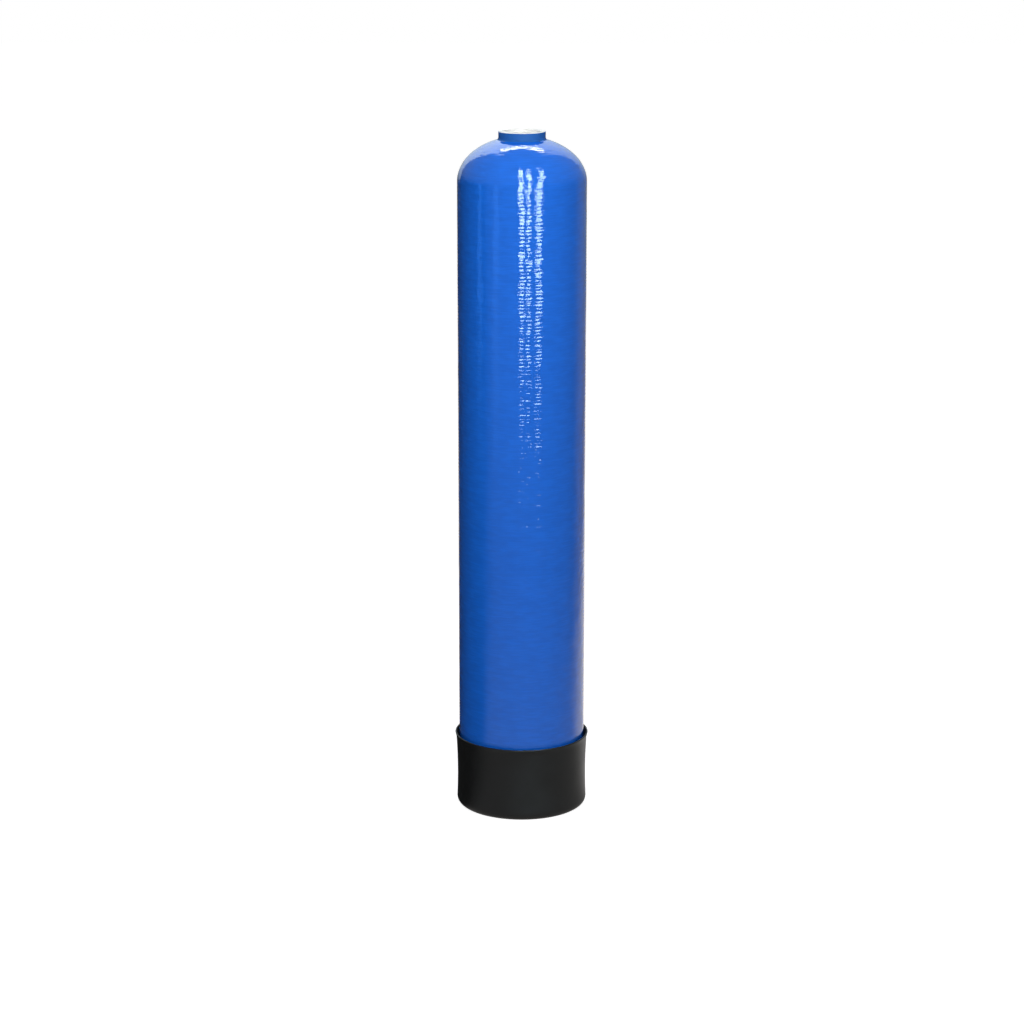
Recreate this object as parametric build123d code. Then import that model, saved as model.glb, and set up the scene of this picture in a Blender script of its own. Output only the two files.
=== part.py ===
from build123d import *
from math import acos, degrees, sqrt
import os

# Filter tank: a pressure vessel of wound glass fibre over a moulded liner, which
# stands in a boot. Water goes in and out through the one threaded neck on top, and
# comes back from the bottom through a slotted strainer and a riser tube.
# Sizes are in millimetres. +Z points up along the tank's axis, and the origin is the
# middle of the face that the boot stands on.

# Whole tank
TOTAL_HEIGHT = 1380.0  # floor to the top of the neck
VESSEL_DIAMETER = 255.0  # outside of the wound wall

# Domed ends, each half an ellipse turned about the axis
DOME_RISE = 88.0  # outside height, from the end of the straight wall to the pole
NECK_ABOVE_POLE = 10.0  # top of the neck above the upper dome's pole
POLE_ABOVE_FLOOR = 10.0  # lower dome's pole above the floor

# Wound wall, which thickens towards the poles, where the strands cross
WOUND_WALL = 3.0
WOUND_POLE_WALL = 4.5
NECK_BUILD_UP = 4.0  # width of the resin fillet round the foot of the neck
COLLAR_SKIN = 1.0  # resin that is carried up over the insert's collar

# Liner, which is thin along the straight wall and thick at the domes
LINER_WALL = 2.5
LINER_POLE_WALL = 7.0

# Neck insert, with the thread that the control valve screws into
NECK_DIAMETER = 93.0  # over the resin
THREAD_MINOR_DIAMETER = 67.4  # crests of the 2.5 inch thread, 8 turns to the inch
THREAD_LENGTH = 28.0
SEAL_CHAMFER = 3.0  # slope at the mouth, where the valve's ring seals
NECK_EDGE_ROUND = 1.5
FLANGE_DIAMETER = 132.0  # flange that the winding holds down
FLANGE_THICKNESS = 4.0
SKIRT_WALL = 4.5  # sleeve that carries the lower turns of the thread

# Boot
BOOT_HEIGHT = 152.0
BOOT_WALL = 3.5
BOOT_FLOOR = 5.0
BOOT_GLUE_GAP = 0.5  # between the vessel and the boot's waist
BOOT_WAIST_HEIGHT = 88.0  # where the boot is narrowest
BOOT_TAPER = 2.0  # the wall opens by this much from the waist to the flared rim
FOOT_SPREAD = 1.0  # and by this much from the waist to the foot
RIM_FLARE = 2.5  # the rim turns out by this much more
RIM_HEIGHT = 14.0
FOOT_ROUND = 14.0
FLOOR_HOLE_DIAMETER = 90.0
RIB_COUNT = 12
RIB_THICKNESS = 4.0
RIB_HEIGHT = 60.0  # top of the ribs above the floor
HUB_WALL = 4.0  # ring round the floor hole, which carries the dome

# Strainer, slim enough to go down through the thread
STRAINER_DIAMETER = 58.0
STRAINER_HEIGHT = 85.0
STRAINER_WALL = 2.5
STRAINER_FOOT_ROUND = 6.0
SLOT_COLUMNS = 36
SLOT_ROWS = 2
SLOT_WIDTH = 0.8
SLOT_HEIGHT = 28.0
SLOT_ROW_GAP = 6.0
PAD_MARGIN = 2.0  # flat pad in the liner, past the strainer's foot

# Strainer cap and riser tube
CAP_THICKNESS = 3.0
CAP_PLUG_DEPTH = 6.0
CAP_PLUG_WALL = 2.5
SOCKET_WALL = 3.2
SOCKET_HEIGHT = 22.0
RISER_DIAMETER = 26.7
RISER_WALL = 2.9
RISER_DROP = 3.0  # top of the riser below the insert's lower end

# Worked out from the sizes above
vessel_radius = VESSEL_DIAMETER / 2
liner_radius = vessel_radius - WOUND_WALL
inside_radius = liner_radius - LINER_WALL
wound_inner_rise = DOME_RISE - WOUND_POLE_WALL
liner_inner_rise = wound_inner_rise - LINER_POLE_WALL
lower_tangent = POLE_ABOVE_FLOOR + DOME_RISE
upper_tangent = TOTAL_HEIGHT - NECK_ABOVE_POLE - DOME_RISE

neck_radius = NECK_DIAMETER / 2
collar_radius = neck_radius - COLLAR_SKIN
skin_top = TOTAL_HEIGHT - NECK_EDGE_ROUND
bore_radius = THREAD_MINOR_DIAMETER / 2
flange_radius = FLANGE_DIAMETER / 2
skirt_radius = bore_radius + SKIRT_WALL
thread_top = TOTAL_HEIGHT - SEAL_CHAMFER
insert_bottom = thread_top - THREAD_LENGTH

strainer_radius = STRAINER_DIAMETER / 2
strainer_inner_radius = strainer_radius - STRAINER_WALL
pad_radius = strainer_radius - STRAINER_FOOT_ROUND + PAD_MARGIN
riser_radius = RISER_DIAMETER / 2
riser_bore_radius = riser_radius - RISER_WALL


def ellipse_height(radius, half_width, rise):
    """Height of a dome's ellipse above its straight wall, at a radius."""
    return rise * sqrt(1 - (radius / half_width) ** 2)


def upper_arc(half_width, rise, from_radius, to_radius):
    """Stretch of the upper dome's section between two radii, going inwards."""
    start = degrees(acos(from_radius / half_width))
    end = degrees(acos(to_radius / half_width))
    return EllipticalCenterArc(
        (0, upper_tangent), half_width, rise, start_angle=start, arc_size=end - start
    )


def lower_arc(half_width, rise, from_radius=0.0):
    """Stretch of the lower dome's section, from a radius out to the straight wall."""
    size = degrees(acos(from_radius / half_width))
    return EllipticalCenterArc(
        (0, lower_tangent), half_width, rise, start_angle=-size, arc_size=size
    )


def turned(*curves):
    """Solid of a closed outline of (radius, height) curves, turned about the axis."""
    return revolve(Plane.XZ * make_face(list(curves)), Axis.Z)


def quarter_round(corner, radius, start, end):
    """Quarter circle that rounds an outline's corner, between two angles in degrees."""
    return CenterArc(corner, radius, start_angle=start, arc_size=end - start)


pad_height = lower_tangent - ellipse_height(pad_radius, inside_radius, liner_inner_rise)
cap_bottom = pad_height + STRAINER_HEIGHT
riser_bottom = cap_bottom + CAP_THICKNESS
riser_top = insert_bottom - RISER_DROP


def make_wound_wall():
    """Glass-fibre wall: straight side, two domes, and the skin round the collar."""
    foot_radius = neck_radius + NECK_BUILD_UP
    foot_height = upper_tangent + ellipse_height(foot_radius, vessel_radius, DOME_RISE)
    slope = DOME_RISE**2 * foot_radius / (
        vessel_radius**2 * (foot_height - upper_tangent)
    )
    corner_height = foot_height + slope * NECK_BUILD_UP
    fillet_top = corner_height + NECK_BUILD_UP * sqrt(1 + slope**2)
    outer_low = lower_arc(vessel_radius, DOME_RISE)
    outer_high = upper_arc(vessel_radius, DOME_RISE, vessel_radius, foot_radius)
    fillet = TangentArc(
        outer_high @ 1, (neck_radius, fillet_top), tangent=(-1, slope)
    )
    outside = turned(
        outer_low,
        Line(outer_low @ 1, outer_high @ 0),
        outer_high,
        fillet,
        Line(fillet @ 1, (neck_radius, skin_top)),
        Line((neck_radius, skin_top), (0, skin_top)),
        Line((0, skin_top), outer_low @ 0),
    )
    inner_high = upper_arc(liner_radius, wound_inner_rise, liner_radius, collar_radius)
    inner_low = lower_arc(liner_radius, wound_inner_rise)
    inside = turned(
        inner_low,
        Line(inner_low @ 1, inner_high @ 0),
        inner_high,
        Line(inner_high @ 1, (collar_radius, TOTAL_HEIGHT)),
        Line((collar_radius, TOTAL_HEIGHT), (0, TOTAL_HEIGHT)),
        Line((0, TOTAL_HEIGHT), inner_low @ 0),
    )
    return outside - inside


def make_liner():
    """Liner that fills the wound wall, stepped down under the insert's flange."""
    flange_half_width = liner_radius - FLANGE_THICKNESS
    flange_rise = wound_inner_rise - FLANGE_THICKNESS
    outer_low = lower_arc(liner_radius, wound_inner_rise)
    outer_high = upper_arc(liner_radius, wound_inner_rise, liner_radius, flange_radius)
    seat = upper_arc(flange_half_width, flange_rise, flange_radius, skirt_radius)
    inner_high = upper_arc(inside_radius, liner_inner_rise, inside_radius, skirt_radius)
    inner_low = lower_arc(inside_radius, liner_inner_rise, pad_radius)
    return turned(
        outer_low,
        Line(outer_low @ 1, outer_high @ 0),
        outer_high,
        Line(outer_high @ 1, seat @ 0),
        seat,
        Line(seat @ 1, inner_high @ 1),
        inner_high,
        Line(inner_high @ 0, inner_low @ 1),
        inner_low,
        Line(inner_low @ 0, (0, pad_height)),
        Line((0, pad_height), outer_low @ 0),
    )


def make_neck_insert():
    """Threaded collar, with the flange and the skirt that the vessel holds."""
    flange_half_width = liner_radius - FLANGE_THICKNESS
    flange_rise = wound_inner_rise - FLANGE_THICKNESS
    top = upper_arc(liner_radius, wound_inner_rise, flange_radius, collar_radius)
    underside = upper_arc(flange_half_width, flange_rise, flange_radius, skirt_radius)
    edge = quarter_round(
        (collar_radius - NECK_EDGE_ROUND, skin_top), NECK_EDGE_ROUND, 0, 90
    )
    return turned(
        top,
        Line(top @ 1, edge @ 0),
        edge,
        Line(edge @ 1, (bore_radius + SEAL_CHAMFER, TOTAL_HEIGHT)),
        Line((bore_radius + SEAL_CHAMFER, TOTAL_HEIGHT), (bore_radius, thread_top)),
        Line((bore_radius, thread_top), (bore_radius, insert_bottom)),
        Line((bore_radius, insert_bottom), (skirt_radius, insert_bottom)),
        Line((skirt_radius, insert_bottom), underside @ 1),
        underside,
        Line(underside @ 0, top @ 0),
    )


def make_base_boot():
    """Moulded boot: wall with a flared rim, floor with a hole, hub and radial ribs."""
    waist = vessel_radius + BOOT_GLUE_GAP + BOOT_WALL
    shoulder = waist + BOOT_TAPER
    foot = waist + FOOT_SPREAD
    rim = shoulder + RIM_FLARE
    edge_height = BOOT_HEIGHT - BOOT_WALL / 2
    hole = FLOOR_HOLE_DIAMETER / 2

    def wall_curves(inset, corner_height):
        """Foot arc, side and flare of the wall, moved in from its outside."""
        foot_arc = quarter_round(
            (foot - FOOT_ROUND, corner_height), FOOT_ROUND - inset, -90, 0
        )
        side = ThreePointArc(
            foot_arc @ 1,
            (waist - inset, BOOT_WAIST_HEIGHT),
            (shoulder - inset, BOOT_HEIGHT - RIM_HEIGHT),
        )
        flare = TangentArc(side @ 1, (rim - inset, edge_height), tangent=side % 1)
        return foot_arc, side, flare

    outer = wall_curves(0, FOOT_ROUND)
    inner = wall_curves(BOOT_WALL, BOOT_FLOOR + FOOT_ROUND - BOOT_WALL)
    edge = ThreePointArc(
        outer[-1] @ 1, (rim - BOOT_WALL / 2, BOOT_HEIGHT), inner[-1] @ 1
    )
    bowl = turned(
        Line((hole, 0), outer[0] @ 0),
        *outer,
        edge,
        *inner,
        Line(inner[0] @ 0, (hole, BOOT_FLOOR)),
        Line((hole, BOOT_FLOOR), (hole, 0)),
    )

    # The hub and the ribs root halfway into the wall and the floor, and the dome of
    # the vessel trims their tops, so it sits on them all round
    core = wall_curves(BOOT_WALL / 2, FOOT_ROUND)
    envelope = turned(
        Line((0, BOOT_WALL / 2), core[0] @ 0),
        *core,
        Line(core[-1] @ 1, (0, edge_height)),
        Line((0, edge_height), (0, BOOT_WALL / 2)),
    )
    dome = turned(
        lower_arc(vessel_radius, DOME_RISE),
        Line((vessel_radius, lower_tangent), (0, lower_tangent)),
        Line((0, lower_tangent), (0, POLE_ABOVE_FLOOR)),
    )
    upright = (Align.CENTER, Align.CENTER, Align.MIN)
    hub = Cylinder(hole + HUB_WALL, RIB_HEIGHT, align=upright)
    hub -= Cylinder(hole, RIB_HEIGHT, align=upright)
    rib = Pos(X=hole) * Box(
        rim - hole, RIB_THICKNESS, RIB_HEIGHT, align=(Align.MIN, Align.CENTER, Align.MIN)
    )
    ribs = [Rot(Z=360 * i / RIB_COUNT) * rib for i in range(RIB_COUNT)]
    webs = hub.fuse(*ribs) & envelope
    return bowl + (webs - dome)


def make_strainer_basket():
    """Slotted basket that keeps the filter bed out of the riser tube."""
    top = cap_bottom
    rounding = STRAINER_FOOT_ROUND
    inner_round = rounding - STRAINER_WALL
    floor = pad_height + STRAINER_WALL
    foot_arc = quarter_round(
        (strainer_radius - rounding, pad_height + rounding), rounding, -90, 0
    )
    inner_arc = quarter_round(
        (strainer_inner_radius - inner_round, floor + inner_round), inner_round, -90, 0
    )
    cup = turned(
        Line((0, pad_height), foot_arc @ 0),
        foot_arc,
        Line(foot_arc @ 1, (strainer_radius, top)),
        Line((strainer_radius, top), (strainer_inner_radius, top)),
        Line((strainer_inner_radius, top), inner_arc @ 1),
        inner_arc,
        Line(inner_arc @ 0, (0, floor)),
        Line((0, floor), (0, pad_height)),
    )
    slots_height = SLOT_ROWS * SLOT_HEIGHT + (SLOT_ROWS - 1) * SLOT_ROW_GAP
    lowest = pad_height + rounding
    highest = top - CAP_PLUG_DEPTH
    first = (lowest + highest - slots_height + SLOT_HEIGHT) / 2
    slot = Box(2 * STRAINER_WALL, SLOT_WIDTH, SLOT_HEIGHT)
    middle = strainer_radius - STRAINER_WALL / 2
    slots = [
        Rot(Z=360 * column / SLOT_COLUMNS)
        * Pos(middle, 0, first + row * (SLOT_HEIGHT + SLOT_ROW_GAP))
        * slot
        for row in range(SLOT_ROWS)
        for column in range(SLOT_COLUMNS)
    ]
    return cup.cut(*slots)


def make_strainer_cap():
    """Lid of the basket: a plug below, a ledge and a socket for the riser above."""
    top = cap_bottom + CAP_THICKNESS
    disc = Pos(Z=cap_bottom + CAP_THICKNESS / 2) * Cylinder(
        strainer_radius, CAP_THICKNESS
    )
    plug = Pos(Z=cap_bottom - CAP_PLUG_DEPTH / 2) * (
        Cylinder(strainer_inner_radius, CAP_PLUG_DEPTH)
        - Cylinder(strainer_inner_radius - CAP_PLUG_WALL, CAP_PLUG_DEPTH)
    )
    socket = Pos(Z=top + SOCKET_HEIGHT / 2) * (
        Cylinder(riser_radius + SOCKET_WALL, SOCKET_HEIGHT)
        - Cylinder(riser_radius, SOCKET_HEIGHT)
    )
    waterway = Pos(Z=cap_bottom) * Cylinder(riser_bore_radius, 4 * CAP_THICKNESS)
    return disc + plug + socket - waterway


def make_riser_tube():
    """Tube from the strainer's cap up to just below the neck insert."""
    length = riser_top - riser_bottom
    return Pos(Z=riser_bottom + length / 2) * (
        Cylinder(riser_radius, length) - Cylinder(riser_bore_radius, length)
    )


PARTS = {
    "wound_wall": make_wound_wall,
    "liner": make_liner,
    "neck_insert": make_neck_insert,
    "base_boot": make_base_boot,
    "strainer_basket": make_strainer_basket,
    "strainer_cap": make_strainer_cap,
    "riser_tube": make_riser_tube,
}

os.makedirs("parts", exist_ok=True)
for name, make in PARTS.items():
    export_step(make(), f"parts/{name}.step")
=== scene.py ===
"""Looks of the filter tank: a wound glass-fibre vessel that stands in a moulded boot.

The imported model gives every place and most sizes. Lengths in the tank's dataclasses are
in millimetres, those of the studio in metres, and everything that is built is in metres.
The camera looks along +Y.
"""

import logging
import math
from dataclasses import dataclass
from enum import Enum
from functools import partial
from typing import Any

import bmesh
import bpy
from mathutils import Matrix, Vector

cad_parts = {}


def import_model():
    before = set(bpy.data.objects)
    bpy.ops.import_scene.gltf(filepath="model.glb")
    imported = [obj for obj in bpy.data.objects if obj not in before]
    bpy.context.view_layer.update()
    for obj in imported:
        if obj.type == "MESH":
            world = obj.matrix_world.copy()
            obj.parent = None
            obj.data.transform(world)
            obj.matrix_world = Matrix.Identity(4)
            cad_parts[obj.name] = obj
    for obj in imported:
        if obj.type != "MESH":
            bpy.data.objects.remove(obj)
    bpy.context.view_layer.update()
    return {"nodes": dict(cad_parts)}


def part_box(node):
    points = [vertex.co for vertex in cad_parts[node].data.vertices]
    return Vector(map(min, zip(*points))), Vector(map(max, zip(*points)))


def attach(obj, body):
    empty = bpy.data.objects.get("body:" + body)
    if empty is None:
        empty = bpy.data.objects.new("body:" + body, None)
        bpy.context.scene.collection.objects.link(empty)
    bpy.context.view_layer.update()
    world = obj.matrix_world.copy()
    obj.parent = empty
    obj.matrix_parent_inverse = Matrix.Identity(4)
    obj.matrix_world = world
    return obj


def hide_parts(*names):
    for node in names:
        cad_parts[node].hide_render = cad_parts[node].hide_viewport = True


MM = 0.001
TOUCHING = 1e-6  # millimetres, under which two points are one
BODY = "root"
COOL = "#d6f1ff"  # light of a daylight tube
BLUE = "#4d96ff"  # light that a blue vessel throws back
WARM = "#fffcf9"  # light that the floor throws back
WHITE = "#ffffff"
LOG = logging.getLogger("filter_tank")

Point = tuple[float, float]
Place = tuple[float, float, float]
Tree = bpy.types.NodeTree
Socket = bpy.types.NodeSocket
Sockets = bpy.types.bpy_prop_collection


class Slot(Enum):
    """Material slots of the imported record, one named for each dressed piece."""

    WOUND = "wound_fibre"
    INSERT = "neck_insert"
    BOOT = "boot"
    RISER = "riser"


class Mark(Enum):
    """Point attributes that tell a node tree where to work, or how bright to be."""

    OUTSIDE = "outside"
    THREAD = "thread"
    SHADE = "shade"


def linear(colour: str) -> tuple[float, float, float, float]:
    """Turn an sRGB hex colour to linear.

    Args:
        colour: six hex digits after a hash mark.

    Returns:
        Linear red, green and blue, and an alpha of 1.
    """
    parts = [int(colour[i : i + 2], 16) / 255 for i in (1, 3, 5)]
    red, green, blue = (c / 12.92 if c <= 0.04045 else ((c + 0.055) / 1.055) ** 2.4 for c in parts)
    return red, green, blue, 1.0


def add(tree: Tree, kind: str, inputs: dict[str | int, Any] | None = None, **settings: Any) -> Sockets:
    """Add one node with its settings, its values and its links.

    Args:
        tree: tree that gets the node.
        kind: the node's type.
        inputs: by the input's name or number, a value, a socket to link, or a list of
            sockets for an input that joins them.
        **settings: properties of the node itself.

    Returns:
        The new node's outputs.
    """
    node = tree.nodes.new(kind)
    for name, value in settings.items():
        setattr(node, name, value)
    for key, value in (inputs or {}).items():
        if isinstance(value, (Socket, list)):
            for socket in value if isinstance(value, list) else [value]:
                tree.links.new(socket, node.inputs[key])
        else:
            node.inputs[key].default_value = value
    return node.outputs


def cleared(holder: bpy.types.Material | bpy.types.World) -> Tree:
    """Start the node tree of a material or a world.

    Args:
        holder: the material or the world.

    Returns:
        Its tree, with no nodes in it.
    """
    holder.use_nodes = True
    holder.node_tree.nodes.clear()
    return holder.node_tree


def ellipse_height(radius: float, half_width: float, rise: float) -> float:
    """Give the height of a half ellipse over its widest line, at a radius."""
    return rise * math.sqrt(max(0.0, 1 - (radius / half_width) ** 2))


def ellipse_arc(centre: Point, reach: Point, start: float, end: float, steps: int) -> list[Point]:
    """Lay points on an ellipse.

    Args:
        centre: middle of the ellipse.
        reach: half its width and half its height.
        start: first angle in degrees.
        end: last angle in degrees.
        steps: number of spaces between the points.

    Returns:
        The points, both ends included.
    """
    angles = [math.radians(start + (end - start) * i / steps) for i in range(steps + 1)]
    return [(centre[0] + reach[0] * math.cos(a), centre[1] + reach[1] * math.sin(a)) for a in angles]


def circle_arc(centre: Point, radius: float, start: float, end: float, steps: int) -> list[Point]:
    """Lay points on a circle, from one angle in degrees to another, both included."""
    return ellipse_arc(centre, (radius, radius), start, end, steps)


def arc_through(first: Point, middle: Point, last: Point, steps: int) -> list[Point]:
    """Lay points on the circle through three points.

    Args:
        first: start of the arc.
        middle: a point that the arc passes.
        last: end of the arc.
        steps: number of spaces between the points.

    Returns:
        The points, both ends included.
    """
    (ax, ay), (bx, by), (cx, cy) = first, middle, last
    double_area = 2 * (ax * (by - cy) + bx * (cy - ay) + cx * (ay - by))
    a2, b2, c2 = (p[0] ** 2 + p[1] ** 2 for p in (first, middle, last))
    ux = (a2 * (by - cy) + b2 * (cy - ay) + c2 * (ay - by)) / double_area
    uy = (a2 * (cx - bx) + b2 * (ax - cx) + c2 * (bx - ax)) / double_area
    start, via, end = (math.degrees(math.atan2(y - uy, x - ux)) for x, y in (first, middle, last))
    sweep = (end - start) % 360
    if (via - start) % 360 > sweep:
        sweep -= 360
    return circle_arc((ux, uy), math.hypot(ax - ux, ay - uy), start, start + sweep, steps)


def tangent_arc(before: Point, start: Point, end: Point, steps: int) -> list[Point]:
    """Lay points on the arc that goes on smoothly from a line to an end point.

    Args:
        before: a point on the line, ahead of its end.
        start: end of the line, where the arc begins.
        end: end of the arc.
        steps: number of spaces between the points.

    Returns:
        The points, both ends included.
    """
    heading = math.atan2(start[1] - before[1], start[0] - before[0])
    lean = math.atan2(end[1] - start[1], end[0] - start[0]) - heading
    diameter = math.dist(start, end) / math.sin(lean)
    points = []
    for turn in (lean * i / steps for i in range(steps + 1)):
        reach, bearing = diameter * math.sin(turn), heading + turn
        points.append((start[0] + reach * math.cos(bearing), start[1] + reach * math.sin(bearing)))
    return points


def line(start: Point, end: Point, steps: int) -> list[Point]:
    """Lay evenly spaced points from a start to an end, both ends included."""
    return [tuple(a + (b - a) * i / steps for a, b in zip(start, end)) for i in range(steps + 1)]


def joined(*stretches: list[Point]) -> list[Point]:
    """Join stretches of an outline, and drop the points that two of them share.

    Args:
        *stretches: the stretches, in order.

    Returns:
        The points of all of them.
    """
    points: list[Point] = []
    for stretch in stretches:
        for point in stretch:
            if not points or math.dist(points[-1], point) > TOUCHING:
                points.append(point)
    return points


def revolve(
    name: str, outline: list[Point], around: int, mark: tuple[Mark, int, int] | None = None
) -> bpy.types.Object:
    """Turn an outline about the Z axis.

    Args:
        name: the piece's name.
        outline: (radius, height) points in millimetres. An outline that begins on
            the axis ends there too, and any other closes on itself.
        around: number of steps round the axis.
        mark: attribute to set, with the first and last outline point that get it.

    Returns:
        The piece, with faces that point outwards.
    """
    points: list[Place] = []
    rings: list[range] = []
    for radius, height in outline:
        steps = around if radius > TOUCHING else 1
        rings.append(range(len(points), len(points) + steps))
        angles = [math.tau * i / around for i in range(steps)]
        points += [(radius * MM * math.cos(a), radius * MM * math.sin(a), height * MM) for a in angles]
    faces = []
    closing = [] if outline[0][0] <= TOUCHING else rings[:1]
    for low, high in zip(rings, rings[1:] + closing):
        for i in range(around):
            j = (i + 1) % around
            face = (low[i % len(low)], low[j % len(low)], high[j % len(high)], high[i % len(high)])
            faces.append(list(dict.fromkeys(face)))
    mesh = bpy.data.meshes.new(name)
    mesh.from_pydata(points, [], faces)
    if mark:
        attribute = mesh.attributes.new(mark[0].value, "FLOAT", "POINT")
        marked = range(rings[mark[1]].start, rings[mark[2]].stop)
        attribute.data.foreach_set("value", [float(i in marked) for i in range(len(points))])
    face_outwards(mesh)
    return placed(name, mesh)


def face_outwards(mesh: bpy.types.Mesh) -> None:
    """Turn all faces of a mesh outwards.

    Args:
        mesh: a closed mesh.
    """
    work = bmesh.new()
    work.from_mesh(mesh)
    bmesh.ops.recalc_face_normals(work, faces=work.faces)
    work.to_mesh(mesh)
    work.free()


def placed(name: str, mesh: bpy.types.Mesh) -> bpy.types.Object:
    """Make an object of a mesh, at the origin, in the scene.

    Args:
        name: the object's name.
        mesh: its mesh, which holds its place.

    Returns:
        The object.
    """
    piece = bpy.data.objects.new(name, mesh)
    bpy.context.scene.collection.objects.link(piece)
    return piece


def smooth(piece: bpy.types.Object, sharp_from: float = 40.0) -> None:
    """Shade a piece smoothly, apart from its edges of more than an angle in degrees."""
    piece.data.shade_smooth()
    piece.data.set_sharp_from_angle(angle=math.radians(sharp_from))


def run_tree(piece: bpy.types.Object, tree: Tree, values: dict[str, Any]) -> None:
    """Run a geometry tree on a piece and keep what comes out as its plain mesh.

    Args:
        piece: object that goes in, and that keeps the result.
        tree: the geometry tree.
        values: a value for each of the tree's inputs, by name.
    """
    modifier = piece.modifiers.new(tree.name, "NODES")
    modifier.node_group = tree
    for item in tree.interface.items_tree:
        if item.in_out == "INPUT" and item.name in values:
            modifier[item.identifier] = values[item.name]
    depsgraph = bpy.context.evaluated_depsgraph_get()
    mesh = bpy.data.meshes.new_from_object(
        piece.evaluated_get(depsgraph), preserve_all_data_layers=True, depsgraph=depsgraph
    )
    piece.modifiers.remove(modifier)
    piece.data = mesh


def new_tree(name: str, **inputs: list[str]) -> Tree:
    """Start a geometry tree with named inputs and one geometry output.

    Args:
        name: the tree's name.
        **inputs: names of its inputs, by their kind of socket.

    Returns:
        The tree, with no nodes in it.
    """
    tree = bpy.data.node_groups.new(name, "GeometryNodeTree")
    for kind, titles in inputs.items():
        for title in titles:
            tree.interface.new_socket(title, in_out="INPUT", socket_type=f"NodeSocket{kind}")
    tree.interface.new_socket("Geometry", in_out="OUTPUT", socket_type="NodeSocketGeometry")
    return tree


def end_tree(tree: Tree, geometry: Socket, material: Socket, *special: tuple[Socket, Socket]) -> None:
    """End a geometry tree in plain geometry that carries its materials.

    Args:
        tree: the geometry tree.
        geometry: what the tree has made.
        material: material of all of it.
        *special: another material, and where it goes.
    """
    end = add(tree, "GeometryNodeRealizeInstances", {"Geometry": geometry})
    for finish, place in ((material, True), *special):
        dressed = {"Geometry": end["Geometry"], "Selection": place, "Material": finish}
        end = add(tree, "GeometryNodeSetMaterial", dressed)
    add(tree, "NodeGroupOutput", {"Geometry": end["Geometry"]})


def helix(tree: Tree, place: Sockets, pitch: Socket) -> tuple[Socket, Socket]:
    """Add the measures of a right-handed helix about the Z axis.

    Args:
        tree: the geometry tree.
        place: a point's X, Y and Z.
        pitch: rise of the helix in one turn.

    Returns:
        The point's angle round the axis, and its height over the helix in turns.
    """
    node = partial(add, tree)
    angle = node("ShaderNodeMath", {0: place["Y"], 1: place["X"]}, operation="ARCTAN2")["Value"]
    turns = node("ShaderNodeMath", {0: place["Z"], 1: pitch}, operation="DIVIDE")["Value"]
    inputs = {0: angle, 1: -1 / math.tau, 2: turns}
    return angle, node("ShaderNodeMath", inputs, operation="MULTIPLY_ADD")["Value"]


def from_ends(tree: Tree, level: Socket, low: Socket, high: Socket) -> tuple[Socket, Socket, Socket]:
    """Add how far a level lies inside two ends.

    Args:
        tree: the geometry tree.
        level: the level.
        low: the lower end.
        high: the upper end.

    Returns:
        Its distance above the lower end, that below the upper one, and the lesser.
    """
    above = add(tree, "ShaderNodeMath", {0: level, 1: low}, operation="SUBTRACT")["Value"]
    below = add(tree, "ShaderNodeMath", {0: high, 1: level}, operation="SUBTRACT")["Value"]
    return above, below, add(tree, "ShaderNodeMath", {0: above, 1: below}, operation="MINIMUM")["Value"]


def humps(tree: Tree, angle: Socket) -> Socket:
    """Add humps from 0 to 1 high, each half a turn of the angle wide."""
    wave = add(tree, "ShaderNodeMath", {0: angle}, operation="SINE")["Value"]
    return add(tree, "ShaderNodeMath", {0: wave}, operation="ABSOLUTE")["Value"]


def moved(tree: Tree, geometry: Socket, direction: Socket, distance: Socket) -> Socket:
    """Add a move of each point of a geometry.

    Args:
        tree: the geometry tree.
        geometry: what moves.
        direction: way that each point goes.
        distance: how far it goes.

    Returns:
        The moved geometry.
    """
    shift = add(tree, "ShaderNodeVectorMath", {0: direction, "Scale": distance}, operation="SCALE")
    inputs = {"Geometry": geometry, "Offset": shift["Vector"]}
    return add(tree, "GeometryNodeSetPosition", inputs)["Geometry"]


def mount(piece: bpy.types.Object, slot: Slot, *nodes: str) -> None:
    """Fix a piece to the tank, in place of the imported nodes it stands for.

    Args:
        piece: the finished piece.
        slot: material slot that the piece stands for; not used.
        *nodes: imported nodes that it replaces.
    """
    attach(piece, BODY)
    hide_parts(*nodes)
    LOG.info("%s: %d faces", piece.name, len(piece.data.polygons))


def dress(node: bpy.types.Object, material: bpy.types.Material) -> None:
    """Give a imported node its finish, in every material slot that it has.

    Args:
        node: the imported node.
        material: its finish.
    """
    for slot in node.material_slots:
        slot.material = material
    LOG.info("%s: dressed", node.name)


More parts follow.
